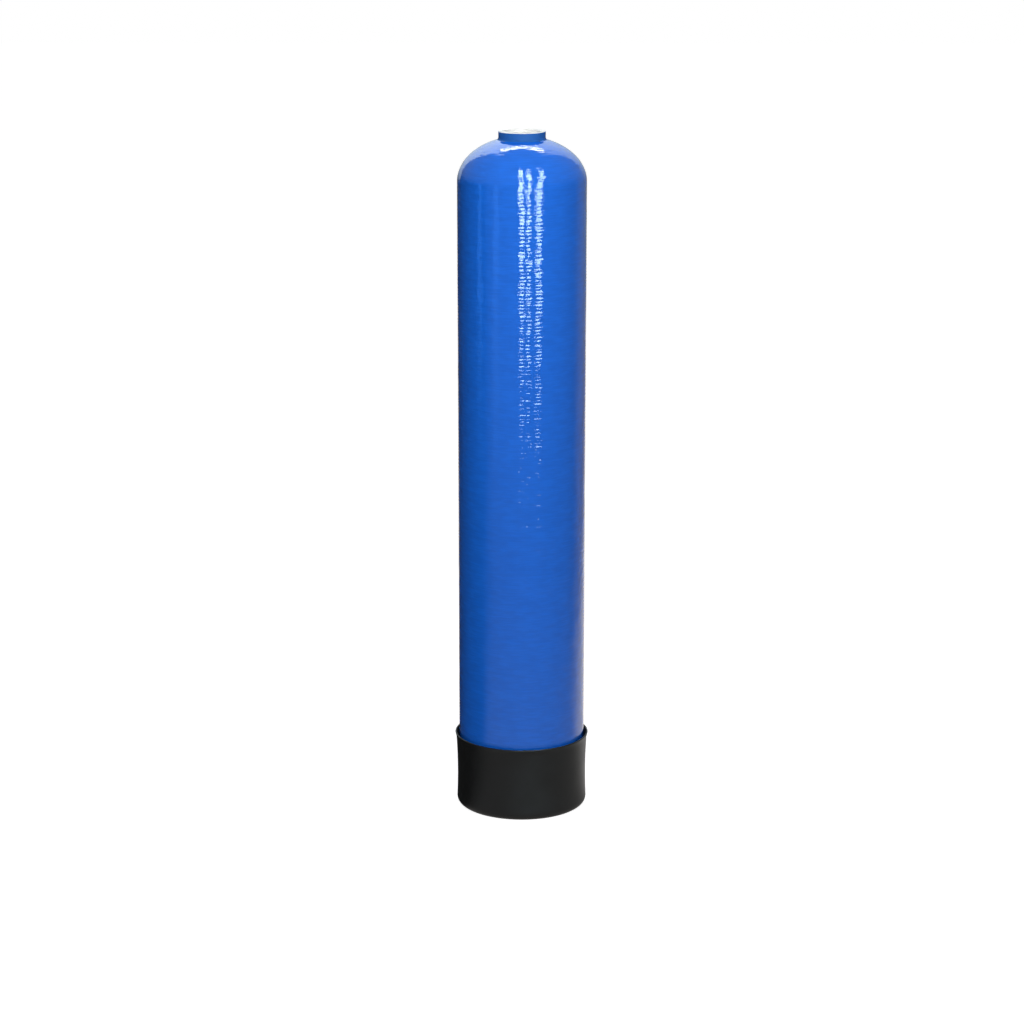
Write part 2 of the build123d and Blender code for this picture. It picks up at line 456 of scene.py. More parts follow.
@dataclass(frozen=True)
class WoundResin:
    """Filament-wound glass fibre under a blue pigmented epoxy resin.

    The pigment hides the glass, so the colour is deep and even. The resin sets glossy
    over the strands, and its level waves break every reflection up into short dashes.
    """

    name: str = "wound_glass_fibre_blue_epoxy"
    colour: str = "#186bde"
    deep_colour: str = "#1664d2"
    deep_range: Point = (0.14, 0.36)  # strand noise where the colour is deepest and lightest
    strand_mm: float = 2.2  # width of a few strands of glass, the least that shows
    strand_runs: float = 30.0  # streaks in a metre along a strand
    strand_rise_mm: float = 0.15
    band_mm: float = 6.5  # width of one laid band of strands
    band_runs: float = 36.0
    band_rise_mm: float = 0.65
    ripple_mm: float = 30.0  # length of the waves that the brush leaves
    ripple_rise_mm: float = 1.0
    ior: float = 1.54
    pigment_roughness: float = 0.5
    coat_roughness: float = 0.05

    def smooth_face(self, tree: Tree, place: Socket, ends: Point, spread: float) -> Socket:
        """Add the normal of the pigment's smooth face: a cylinder with two domes.

        Args:
            tree: the material's tree.
            place: a point of the wall.
            ends: heights of the straight wall's lower and upper end.
            spread: half width of the domes over their rise.

        Returns:
            The normal.
        """
        node = partial(add, tree)
        split = node("ShaderNodeSeparateXYZ", {"Vector": place})
        low, high = (end * MM for end in ends)
        level = node("ShaderNodeClamp", {"Value": split["Z"], "Min": low, "Max": high})["Result"]
        over = node("ShaderNodeMath", {0: split["Z"], 1: level}, operation="SUBTRACT")["Value"]
        steep = node("ShaderNodeMath", {0: over, 1: spread**2}, operation="MULTIPLY")["Value"]
        away = node("ShaderNodeCombineXYZ", {"X": split["X"], "Y": split["Y"], "Z": steep})["Vector"]
        turned = node(
            "ShaderNodeVectorTransform",
            {"Vector": away},
            vector_type="NORMAL",
            convert_from="OBJECT",
            convert_to="WORLD",
        )["Vector"]
        return node("ShaderNodeVectorMath", {0: turned}, operation="NORMALIZE")["Vector"]

    def build(self, ends: Point, spread: float) -> bpy.types.Material:
        """Build the node material.

        Args:
            ends: heights of the straight wall's lower and upper end.
            spread: half width of the domes over their rise.

        Returns:
            The material, on object coordinates.
        """
        material = bpy.data.materials.new(self.name)
        tree = cleared(material)
        node = partial(add, tree)
        place = node("ShaderNodeTexCoord")["Object"]
        even = self.smooth_face(tree, place, ends, spread)

        # Noise squeezed along Z gives level streaks that run right round the wall
        streaks = []
        for runs, width in ((self.strand_runs, self.strand_mm), (self.band_runs, self.band_mm)):
            squeeze = {"Vector": place, "Scale": (runs, runs, 1 / (width * MM))}
            squeezed = node("ShaderNodeMapping", squeeze)["Vector"]
            inputs = {"Vector": squeezed, "Scale": 1.0, "Detail": 2.0}
            streaks.append(node("ShaderNodeTexNoise", inputs)["Fac"])
        strand, band = streaks
        blend = node("ShaderNodeMath", {0: strand, 1: band}, operation="MULTIPLY")["Value"]
        low, high = self.deep_range
        depth = node("ShaderNodeMapRange", {"Value": blend, "From Min": low, "From Max": high})["Result"]
        colours = {"Factor": depth, "A": linear(self.deep_colour), "B": linear(self.colour)}
        colour = node("ShaderNodeMix", colours, data_type="RGBA")["Result"]

        waves = {"Vector": place, "Scale": 1 / (self.ripple_mm * MM), "Detail": 2.0}
        ripple = node("ShaderNodeTexNoise", waves)["Fac"]
        rises = (self.ripple_rise_mm, self.band_rise_mm, self.strand_rise_mm)
        under: dict[str, Socket] = {}
        for height, rise in zip((ripple, band, strand), rises):
            bump = node("ShaderNodeBump", {"Height": height, "Distance": rise * MM, **under})
            under = {"Normal": bump["Normal"]}
        shader = node(
            "ShaderNodeBsdfPrincipled",
            {
                "Base Color": colour,
                "Roughness": self.pigment_roughness,
                "Specular IOR Level": 0.0,
                "IOR": self.ior,
                "Coat Weight": 1.0,
                "Coat IOR": self.ior,
                "Coat Roughness": self.coat_roughness,
                "Normal": even,
                "Coat Normal": under["Normal"],
            },
        )
        node("ShaderNodeOutputMaterial", {"Surface": shader["BSDF"]})
        return material


@dataclass(frozen=True)
class MouldedPlastic:
    """Moulded or extruded plastic with the fine grain of its tool.

    The grain softens the reflections, and a slow drift in tone keeps a large face
    from looking painted.
    """

    name: str
    colour: str
    worn_colour: str
    roughness: float
    grain_mm: float
    grain_depth_mm: float
    ior: float = 1.5
    drift_mm: float = 60.0
    worn_range: Point = (0.35, 0.75)  # drift where the worn colour begins and is full
    polish_range: Point = (0.3, 0.7)  # drift where the polish is best and worst
    polish_change: Point = (-0.05, 0.06)  # in roughness, at the best and the worst

    def build(self) -> bpy.types.Material:
        """Build the node material.

        Returns:
            The material, on object coordinates.
        """
        material = bpy.data.materials.new(self.name)
        node = partial(add, cleared(material))
        place = node("ShaderNodeTexCoord")["Object"]
        slow = {"Vector": place, "Scale": 1 / (self.drift_mm * MM), "Detail": 4.0}
        drift = node("ShaderNodeTexNoise", slow)["Fac"]
        low, high = self.worn_range
        wear = node("ShaderNodeMapRange", {"Value": drift, "From Min": low, "From Max": high})["Result"]
        colours = {"Factor": wear, "A": linear(self.colour), "B": linear(self.worn_colour)}
        colour = node("ShaderNodeMix", colours, data_type="RGBA")["Result"]
        polish = node(
            "ShaderNodeMapRange",
            {
                "Value": drift,
                "From Min": self.polish_range[0],
                "From Max": self.polish_range[1],
                "To Min": self.roughness + self.polish_change[0],
                "To Max": self.roughness + self.polish_change[1],
            },
        )["Result"]
        fine = {"Vector": place, "Scale": 1 / (self.grain_mm * MM), "Detail": 2.0}
        grain = node("ShaderNodeTexNoise", fine)["Fac"]
        bump = node("ShaderNodeBump", {"Height": grain, "Distance": self.grain_depth_mm * MM})["Normal"]
        face = {"Base Color": colour, "Roughness": polish, "IOR": self.ior, "Normal": bump}
        shader = node("ShaderNodeBsdfPrincipled", face)
        node("ShaderNodeOutputMaterial", {"Surface": shader["BSDF"]})
        return material


# Epoxy brushed thin over the collar: duller than the wall's, its gloss scattered by the brush
COLLAR_RESIN = MouldedPlastic(
    name="thin_blue_epoxy_over_collar",
    colour="#205aa4",
    worn_colour="#2360ac",
    roughness=0.6,
    grain_mm=2.0,
    grain_depth_mm=0.04,
    ior=1.2,
)
# Plastic with no pigment, from a polished tool: off-white with a soft shine
NATURAL_PLASTIC = MouldedPlastic(
    name="moulded_natural_plastic",
    colour="#efefec",
    worn_colour="#e6e7e3",
    roughness=0.3,
    grain_mm=1.2,
    grain_depth_mm=0.01,
)
# Polyethylene full of soot, from a blasted tool: nearly black, satin, with broad highlights
BLACK_POLYETHYLENE = MouldedPlastic(
    name="moulded_polyethylene_black",
    colour="#0e0e0e",
    worn_colour="#131312",
    roughness=0.43,
    grain_mm=0.9,
    grain_depth_mm=0.03,
    ior=1.4,
)
# Polyethylene blown with air alone on its inside: milky, waxy and a little uneven
BLOWN_POLYETHYLENE = MouldedPlastic(
    name="blown_polyethylene_natural",
    colour="#d8dcd9",
    worn_colour="#cdd2cf",
    roughness=0.5,
    grain_mm=4.0,
    grain_depth_mm=0.03,
)
# Tube drawn out of a die: white and smooth, with hardly any grain
WHITE_PVC = MouldedPlastic(
    name="extruded_pvc_white",
    colour="#e6e6e1",
    worn_colour="#dcdcd6",
    roughness=0.32,
    grain_mm=3.0,
    grain_depth_mm=0.008,
)
# ABS from a fine tool: dark grey and satin
GREY_ABS = MouldedPlastic(
    name="moulded_abs_grey",
    colour="#3d4043",
    worn_colour="#46494c",
    roughness=0.4,
    grain_mm=1.5,
    grain_depth_mm=0.01,
)


@dataclass
class WoundWall:
    """The vessel's wound wall, with the relief of its strands on the outside.

    Hoop windings cover the straight wall as one fine helix. On the domes the strands
    cross, each one tangent to the circle that it turns round at the pole.
    """

    finish: WoundResin
    collar_finish: MouldedPlastic
    dome_rise: float = 88.0
    pole_below_top: float = 10.0
    pole_wall: float = 4.5
    wall: float = 3.0
    build_up: float = 4.0
    neck_radius: float = 46.5
    skin: float = 1.0
    skin_edge: float = 0.5
    skin_rise: float = 0.9
    collar_height: float = 15.0
    around: int = 84
    row: float = 1.2  # height of a row of faces on the straight wall
    lower_dome_steps: int = 34
    upper_dome_steps: int = 74
    inner_dome_steps: int = 20
    fillet_steps: int = 8
    edge_steps: int = 3
    hoop_pitch: float = 7.0
    hoop_relief: float = 0.36
    sways_per_metre: float = 30.0
    sway_turns: float = 1.6  # how far the hoops wander from their helix
    patches_per_metre: float = 34.0
    patch_range: Point = (0.32, 0.62)  # patch noise where a hoop is most and least levelled
    least_fullness: float = 0.35  # share of a hoop that stands out where it's most levelled
    dome_fade: float = 9.0  # from hoops to crossed strands, each side of the wall's end
    strand_count: int = 70
    strand_relief: float = 0.34
    pole_turn_radius: float = 16.0
    plug_range: Point = (4.5, 12.0)  # past the circle, where the strands come clear of resin
    nib_radius: float = 1.5
    least_nib: Place = (0.5, 0.4, 0.12)  # shares of the radius: along, across, high
    largest_nib: Place = (1.6, 0.8, 0.2)
    nibs_per_square_metre: float = 55.0
    seed: int = 7

    def outline(self) -> tuple[list[Point], int]:
        """Lay the wall's section, outside first.

        Returns:
            The closed outline, and the number of the last point below the neck.
        """
        low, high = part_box("wound_wall")
        skin_top = high[2] / MM + self.skin_rise
        lower, upper = self.tangents()
        radius, rise = self.radius(), self.dome_rise
        foot = self.neck_radius + self.build_up
        end = math.degrees(math.acos(foot / radius))
        outer = joined(
            [(0.0, low[2] / MM)],
            ellipse_arc((0.0, lower), (radius, rise), -90, 0, self.lower_dome_steps)[1:],
            line((radius, lower), (radius, upper), round((upper - lower) / self.row)),
            ellipse_arc((0.0, upper), (radius, rise), 0, end, self.upper_dome_steps),
        )
        slope = (outer[-1][1] - outer[-2][1]) / (outer[-2][0] - outer[-1][0])
        fillet_top = outer[-1][1] + self.build_up * (slope + math.sqrt(1 + slope**2))
        fillet = tangent_arc(outer[-2], outer[-1], (self.neck_radius, fillet_top), self.fillet_steps)
        corner = (self.neck_radius - self.skin_edge, skin_top - self.skin_edge)
        edge = circle_arc(corner, self.skin_edge, 0, 90, self.edge_steps)

        inner = (radius - self.wall, rise - self.pole_wall)
        collar = self.neck_radius - self.skin
        start = math.degrees(math.acos(collar / inner[0]))
        roof = ellipse_arc((0.0, upper), inner, start, 0, self.inner_dome_steps)
        bowl = ellipse_arc((0.0, lower), inner, 0, -90, self.inner_dome_steps)
        bowl[-1] = (0.0, bowl[-1][1])
        return joined(outer, fillet, edge, [(collar, skin_top)], roof, bowl), len(outer) - 1

    def radius(self) -> float:
        """Give the wall's outside radius."""
        return max(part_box("wound_wall")[1][:2]) / MM

    def tangents(self) -> Point:
        """Give the heights of the lower and the upper end of the straight wall."""
        bottom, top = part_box("wound_wall")[0][2] / MM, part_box("neck_insert")[1][2] / MM
        return bottom + self.dome_rise, top - self.pole_below_top - self.dome_rise

    def lower_face(self, first: float, last: float, steps: int) -> list[Point]:
        """Lay points on the outside of the lower dome, at even spaces of radius.

        Args:
            first: radius of the first point.
            last: radius of the last point.
            steps: number of spaces between the points.

        Returns:
            The points, both ends included.
        """
        lower, radius = self.tangents()[0], self.radius()
        radii = line((first, 0), (last, 0), steps)
        return [(r, lower - ellipse_height(r, radius, self.dome_rise)) for r, _ in radii]

    def hoop_height(self, tree: Tree, given: Sockets, position: Socket, phase: Socket) -> Socket:
        """Add the height of the hoop windings, one helix that is a little uneven.

        Args:
            tree: the geometry tree.
            given: the tree's inputs.
            position: a point of the wall.
            phase: its height over the helix in turns.

        Returns:
            The height.
        """
        node = partial(add, tree)
        slow = {"Vector": position, "Scale": self.sways_per_metre, "Detail": 1.0}
        sway = node("ShaderNodeTexNoise", slow)["Fac"]
        inputs = {0: sway, 1: self.sway_turns, 2: phase}
        swayed = node("ShaderNodeMath", inputs, operation="MULTIPLY_ADD")["Value"]
        angle = node("ShaderNodeMath", {0: swayed, 1: math.pi}, operation="MULTIPLY")["Value"]
        spots = {"Vector": position, "Scale": self.patches_per_metre, "Detail": 2.0}
        patch = node("ShaderNodeTexNoise", spots)["Fac"]
        low, high = self.patch_range
        levels = {"Value": patch, "From Min": low, "From Max": high, "To Min": self.least_fullness}
        fullness = node("ShaderNodeMapRange", levels)["Result"]
        hoop = node("ShaderNodeMath", {0: humps(tree, angle), 1: fullness}, operation="MULTIPLY")["Value"]
        return node("ShaderNodeMath", {0: hoop, 1: given["Hoop Relief"]}, operation="MULTIPLY")["Value"]

    def strand_height(self, tree: Tree, given: Sockets, angle: Socket, ratio: Socket) -> Socket:
        """Add the height of a dome's strands, two families that cross.

        Args:
            tree: the geometry tree.
            given: the tree's inputs.
            angle: a point's angle round the axis.
            ratio: radius of the circle that its strands touch, over its own radius.

        Returns:
            The height.
        """
        node = partial(add, tree)
        lean = node("ShaderNodeMath", {0: ratio}, operation="ARCCOSINE")["Value"]
        families = {}
        for family, side in enumerate((1.0, -1.0)):
            inputs = {0: lean, 1: side, 2: angle}
            bearing = node("ShaderNodeMath", inputs, operation="MULTIPLY_ADD")["Value"]
            inputs = {0: bearing, 1: given["Strand Count"]}
            count = node("ShaderNodeMath", inputs, operation="MULTIPLY")["Value"]
            half = node("ShaderNodeMath", {0: count, 1: 0.5}, operation="MULTIPLY")["Value"]
            families[family] = humps(tree, half)
        crossing = node("ShaderNodeMath", families, operation="MAXIMUM")["Value"]
        inputs = {0: crossing, 1: given["Strand Relief"]}
        return node("ShaderNodeMath", inputs, operation="MULTIPLY")["Value"]

    def nibs(self, tree: Tree, given: Sockets, wall: Socket, outside: Socket) -> Socket:
        """Add the nibs: drops of resin that set before the brush reached them.

        Args:
            tree: the geometry tree.
            given: the tree's inputs.
            wall: the wall that they sit on.
            outside: where they may sit.

        Returns:
            The nibs, as instances.
        """
        node = partial(add, tree)
        seed = {"Seed": given["Seed"]}
        spread = {"Mesh": wall, "Selection": outside, "Density": given["Nib Density"], **seed}
        spots = node("GeometryNodeDistributePointsOnFaces", spread)
        ball = {"Radius": given["Nib Radius"], "Subdivisions": 2}
        drop = node("GeometryNodeMeshIcoSphere", ball)["Mesh"]
        even = node("GeometryNodeSetShadeSmooth", {"Geometry": drop})["Geometry"]
        sizes = {"Min": self.least_nib, "Max": self.largest_nib, **seed}
        size = node("FunctionNodeRandomValue", sizes, data_type="FLOAT_VECTOR")["Value"]
        set_down = {"Points": spots["Points"], "Rotation": spots["Rotation"], "Instance": even, "Scale": size}
        return node("GeometryNodeInstanceOnPoints", set_down)["Instances"]

    def relief_tree(self) -> Tree:
        """Build the tree that raises the strands and sets the resin's nibs.

        Returns:
            The geometry tree.
        """
        sizes = ["Collar From", "Lower End", "Upper End", "Neck Radius", "Pole Radius"]
        sizes += ["Hoop Pitch", "Hoop Relief", "Strand Count", "Strand Relief", "Nib Radius", "Nib Density"]
        tree = new_tree(
            "wound_relief",
            Geometry=["Geometry"],
            Material=["Material", "Collar Material"],
            Float=sizes,
            Int=["Seed"],
        )
        node = partial(add, tree)
        given = node("NodeGroupInput")
        position = node("GeometryNodeInputPosition")["Position"]
        split = node("ShaderNodeSeparateXYZ", {"Vector": position})
        angle, phase = helix(tree, split, given["Hoop Pitch"])

        # Straight wall: 1 between its ends, fading to 0 on the domes
        above, below, nearest = from_ends(tree, split["Z"], given["Lower End"], given["Upper End"])
        fade = self.dome_fade * MM
        span = {"Value": nearest, "From Min": -fade, "From Max": fade}
        straight = node("ShaderNodeMapRange", span, interpolation_type="SMOOTHSTEP")["Result"]

        # The strands of each dome touch a circle of its own
        across = node("ShaderNodeCombineXYZ", {"X": split["X"], "Y": split["Y"]})["Vector"]
        radius = node("ShaderNodeVectorMath", {0: across}, operation="LENGTH")["Value"]
        is_upper = node("ShaderNodeMath", {0: below, 1: above}, operation="LESS_THAN")["Value"]
        circles = {"Factor": is_upper, "A": given["Pole Radius"], "B": given["Neck Radius"]}
        circle = node("ShaderNodeMix", circles, data_type="FLOAT")["Result"]
        ratio = node("ShaderNodeMath", {0: circle, 1: radius}, operation="DIVIDE", use_clamp=True)["Value"]
        strands = self.strand_height(tree, given, angle, ratio)
        hoops = self.hoop_height(tree, given, position, phase)
        heights = {"Factor": straight, "A": strands, "B": hoops}
        height = node("ShaderNodeMix", heights, data_type="FLOAT")["Result"]

        # The resin fillet at the neck, and the pole's plug of resin, hide the strands
        read = {"Name": Mark.OUTSIDE.value}
        outside = node("GeometryNodeInputNamedAttribute", read, data_type="FLOAT")["Attribute"]
        past = node("ShaderNodeMath", {0: radius, 1: circle}, operation="SUBTRACT")["Value"]
        low, high = (reach * MM for reach in self.plug_range)
        span = {"Value": past, "From Min": low, "From Max": high}
        clear = node("ShaderNodeMapRange", span, interpolation_type="SMOOTHSTEP")["Result"]
        bare = node("ShaderNodeMath", {0: outside, 1: clear}, operation="MULTIPLY")["Value"]
        shown = node("ShaderNodeMath", {0: height, 1: bare}, operation="MULTIPLY")["Value"]
        raised = moved(tree, given["Geometry"], node("GeometryNodeInputNormal")["Normal"], shown)

        nibs = self.nibs(tree, given, raised, outside)
        whole = node("GeometryNodeJoinGeometry", {"Geometry": [nibs, raised]})["Geometry"]
        inputs = {0: split["Z"], 1: given["Collar From"]}
        on_collar = node("ShaderNodeMath", inputs, operation="GREATER_THAN")["Value"]
        end_tree(tree, whole, given["Material"], (given["Collar Material"], on_collar))
        return tree

    def build(self) -> None:
        """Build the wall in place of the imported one."""
        outline, last_outside = self.outline()
        mark = (Mark.OUTSIDE, 0, last_outside)
        piece = revolve("wound_wall_dressed", outline, self.around, mark)
        smooth(piece)
        lower, upper = self.tangents()
        values = {
            "Material": self.finish.build((lower, upper), self.radius() / self.dome_rise),
            "Collar Material": self.collar_finish.build(),
            "Collar From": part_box("wound_wall")[1][2] - self.collar_height * MM,
            "Hoop Pitch": self.hoop_pitch * MM,
            "Hoop Relief": self.hoop_relief * MM,
            "Strand Count": float(self.strand_count),
            "Strand Relief": self.strand_relief * MM,
            "Lower End": lower * MM,
            "Upper End": upper * MM,
            "Neck Radius": self.neck_radius * MM,
            "Pole Radius": self.pole_turn_radius * MM,
            "Nib Radius": self.nib_radius * MM,
            "Nib Density": self.nibs_per_square_metre,
            "Seed": self.seed,
        }
        run_tree(piece, self.relief_tree(), values)
        mount(piece, Slot.WOUND, "wound_wall")


@dataclass
class NeckInsert:
    """The moulded collar, with its thread cut down to the full depth."""

    finish: MouldedPlastic
    minor_radius: float = 33.7
    major_radius: float = 36.2
    thread_length: float = 28.0
    pitch: float = 3.175
    flank_range: Point = (0.07, 0.43)  # from root to crest, in turns from a root's middle
    run_out: float = 2.5  # length in which the ridge fades at each end
    seal_chamfer: float = 3.0
    edge_round: float = 1.5
    flange_thickness: float = 4.0
    skirt_wall: float = 4.5
    around: int = 144
    rows_per_turn: int = 12
    flange_steps: int = 6
    edge_steps: int = 5
    chamfer_steps: int = 2
    sharp_from: float = 50.0

    def outline(self, wall: WoundWall) -> tuple[list[Point], int, int]:
        """Lay the collar's section, with its bore at the thread's full depth.

        Args:
            wall: the wall whose winding holds the flange down.

        Returns:
            The closed outline, and the numbers of the bore's first and last point.
        """
        low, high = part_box("neck_insert")
        top = high[2] / MM
        flange = max(high[0], high[1]) / MM
        skirt = self.minor_radius + self.skirt_wall
        collar = wall.neck_radius - wall.skin
        bottom = top - self.seal_chamfer - self.thread_length
        upper = wall.tangents()[1]
        dome = (wall.radius() - wall.wall, wall.dome_rise - wall.pole_wall)
        radii = line((flange, 0), (collar, 0), self.flange_steps)
        over = [(r, upper + ellipse_height(r, *dome)) for r, _ in radii]
        lower_dome = (dome[0] - self.flange_thickness, dome[1] - self.flange_thickness)
        radii = line((skirt, 0), (flange, 0), self.flange_steps)
        under = [(r, upper + ellipse_height(r, *lower_dome)) for r, _ in radii]
        corner = (collar - self.edge_round, top - self.edge_round)
        edge = circle_arc(corner, self.edge_round, 0, 90, self.edge_steps)
        mouth = self.minor_radius + self.seal_chamfer
        bore_top = top - (mouth - self.major_radius)
        chamfer = line((mouth, top), (self.major_radius, bore_top), self.chamfer_steps)
        rows = round(self.thread_length / self.pitch * self.rows_per_turn)
        bore = line((self.major_radius, bore_top), (self.major_radius, bottom), rows)
        before = joined(over, edge, chamfer)
        first = len(before)
        return joined(before, bore, [(skirt, bottom)], under), first, first + rows - 1

    def thread_tree(self) -> Tree:
        """Build the tree that draws the thread's ridge in to the minor radius.

        Returns:
            The geometry tree.
        """
        sizes = ["Pitch", "Depth", "Top", "Bottom"]
        tree = new_tree("neck_thread", Geometry=["Geometry"], Material=["Material"], Float=sizes)
        node = partial(add, tree)
        given = node("NodeGroupInput")
        position = node("GeometryNodeInputPosition")["Position"]
        split = node("ShaderNodeSeparateXYZ", {"Vector": position})
        _, phase = helix(tree, split, given["Pitch"])
        flank = node("ShaderNodeMath", {0: phase, 1: 0.5}, operation="PINGPONG")["Value"]
        low, high = self.flank_range
        ridge = node("ShaderNodeMapRange", {"Value": flank, "From Min": low, "From Max": high})["Result"]
        _, _, nearest = from_ends(tree, split["Z"], given["Bottom"], given["Top"])
        full = node("ShaderNodeMapRange", {"Value": nearest, "From Max": self.run_out * MM})["Result"]
        read = {"Name": Mark.THREAD.value}
        marked = node("GeometryNodeInputNamedAttribute", read, data_type="FLOAT")["Attribute"]
        inwards = ridge
        for part in (given["Depth"], full, marked, -1.0):
            inwards = node("ShaderNodeMath", {0: inwards, 1: part}, operation="MULTIPLY")["Value"]
        across = node("ShaderNodeCombineXYZ", {"X": split["X"], "Y": split["Y"]})["Vector"]
        outwards = node("ShaderNodeVectorMath", {0: across}, operation="NORMALIZE")["Vector"]
        end_tree(tree, moved(tree, given["Geometry"], outwards, inwards), given["Material"])
        return tree

    def build(self, wall: WoundWall) -> None:
        """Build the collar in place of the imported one.

        Args:
            wall: the wall whose winding holds the flange down.
        """
        points, first, last = self.outline(wall)
        piece = revolve("neck_insert_dressed", points, self.around, (Mark.THREAD, first, last))
        thread_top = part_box("neck_insert")[1][2] - self.seal_chamfer * MM
        values = {
            "Material": self.finish.build(),
            "Pitch": self.pitch * MM,
            "Depth": (self.major_radius - self.minor_radius) * MM,
            "Top": thread_top,
            "Bottom": thread_top - self.thread_length * MM,
        }
        run_tree(piece, self.thread_tree(), values)
        smooth(piece, self.sharp_from)
        mount(piece, Slot.INSERT, "neck_insert")


@dataclass
class Boot:
    """The moulded boot: flared wall, floor with a hole, hub ring and radial ribs."""

    finish: MouldedPlastic
    height: float = 152.0
    wall: float = 3.5
    floor: float = 5.0
    glue_gap: float = 0.5
    waist_height: float = 88.0
    taper: float = 2.0
    foot_spread: float = 1.0
    rim_flare: float = 2.5
    rim_height: float = 14.0
    foot_round: float = 14.0
    hole_radius: float = 45.0
    hole_chamfer: float = 0.8
    hub_wall: float = 4.0
    rib_count: int = 12
    rib_thickness: float = 4.0
    rib_height: float = 60.0
    around: int = 144
    foot_steps: int = 10
    side_steps: int = 26
    rim_steps: int = 10
    edge_steps: int = 6
    hub_steps: int = 3
    rib_steps: int = 24

    def wall_points(self, vessel_radius: float, inset: float, corner: float) -> list[Point]:
        """Lay the wall's face from the foot's arc up to the rim.

        Args:
            vessel_radius: outside radius of the vessel.
            inset: distance in from the boot's outside.
            corner: height of the middle of the foot's arc.

        Returns:
            The points, from the floor upwards.
        """
        waist = vessel_radius + self.glue_gap + self.wall
        middle = (waist + self.foot_spread - self.foot_round, corner)
        arc = circle_arc(middle, self.foot_round - inset, -90, 0, self.foot_steps)
        shoulder = (waist + self.taper - inset, self.height - self.rim_height)
        side = arc_through(arc[-1], (waist - inset, self.waist_height), shoulder, self.side_steps)
        rim = (shoulder[0] + self.rim_flare, self.height - self.wall / 2)
        return joined(arc, side, tangent_arc(side[-2], side[-1], rim, self.rim_steps))

    def outline(self, wall: WoundWall) -> list[Point]:
        """Lay the section of the bowl and its hub.

        Args:
            wall: the wall of the vessel that the hub carries.

        Returns:
            The closed outline.
        """
        radius = wall.radius()
        outer = self.wall_points(radius, 0.0, self.foot_round)
        inner = self.wall_points(radius, self.wall, self.floor + self.foot_round - self.wall)
        top = (outer[-1][0] + inner[-1][0]) / 2
        edge = arc_through(outer[-1], (top, self.height), inner[-1], self.edge_steps)
        hub_radius = self.hole_radius + self.hub_wall
        hub = wall.lower_face(hub_radius, self.hole_radius, self.hub_steps)
        hole = [(self.hole_radius, self.hole_chamfer), (self.hole_radius + self.hole_chamfer, 0.0)]
        return joined(hole, outer, edge, inner[::-1], [(hub_radius, self.floor)], hub)

    def rib(self, wall: WoundWall) -> bpy.types.Object:
        """Build one rib, along +X, with its top cut to the dome.

        Args:
            wall: the wall of the vessel that the rib carries.

        Returns:
            The rib, closed, rooted in the hub, the floor and the wall.
        """
        radius = wall.radius()
        middle = self.wall_points(radius, self.wall / 2, self.foot_round)
        outside = [p for p in middle if p[1] < self.rib_height]
        rise = (wall.tangents()[0] - self.rib_height) / wall.dome_rise
        shelf = radius * math.sqrt(1 - rise**2)
        root = self.hole_radius + self.hub_wall / 2
        outline = joined(
            [(root, self.wall / 2)],
            outside,
            [(outside[-1][0], self.rib_height)],
            wall.lower_face(shelf, root, self.rib_steps),
        )
        half = self.rib_thickness / 2
        count = len(outline)
        points = [(r * MM, side * half * MM, z * MM) for side in (-1, 1) for r, z in outline]
        faces = [list(range(count)), list(range(count, 2 * count))]
        for i in range(count):
            j = (i + 1) % count
            faces.append([i, j, count + j, count + i])
        mesh = bpy.data.meshes.new("boot_rib")
        mesh.from_pydata(points, [], faces)
        face_outwards(mesh)
        return placed("boot_rib", mesh)

    def rib_tree(self) -> Tree:
        """Build the tree that sets the ribs round the boot's hub.

        Returns:
            The geometry tree.
        """
        tree = new_tree(
            "boot_ribs", Geometry=["Geometry"], Material=["Material"], Object=["Rib"], Int=["Rib Count"]
        )
        node = partial(add, tree)
        given = node("NodeGroupInput")
        rib = node("GeometryNodeObjectInfo", {"Object": given["Rib"]})["Geometry"]
        stack = {"Count": given["Rib Count"], "Offset": (0.0, 0.0, 0.0)}
        middle = node("GeometryNodeMeshLine", stack)["Mesh"]
        number = node("GeometryNodeInputIndex")["Index"]
        share = node("ShaderNodeMath", {0: number, 1: given["Rib Count"]}, operation="DIVIDE")["Value"]
        turn = node("ShaderNodeMath", {0: share, 1: math.tau}, operation="MULTIPLY")["Value"]
        turned = node("ShaderNodeCombineXYZ", {"Z": turn})["Vector"]
        inputs = {"Points": middle, "Instance": rib, "Rotation": turned}
        ribs = node("GeometryNodeInstanceOnPoints", inputs)["Instances"]
        whole = node("GeometryNodeJoinGeometry", {"Geometry": [ribs, given["Geometry"]]})["Geometry"]
        end_tree(tree, whole, given["Material"])
        return tree

    def build(self, wall: WoundWall) -> None:
        """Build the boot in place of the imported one.

        Args:
            wall: the wall of the vessel that stands in the boot.
        """
        piece = revolve("base_boot_dressed", self.outline(wall), self.around)
        rib = self.rib(wall)
        values = {"Material": self.finish.build(), "Rib": rib, "Rib Count": self.rib_count}
        run_tree(piece, self.rib_tree(), values)
        bpy.data.objects.remove(rib)
        smooth(piece)
        mount(piece, Slot.BOOT, "base_boot")


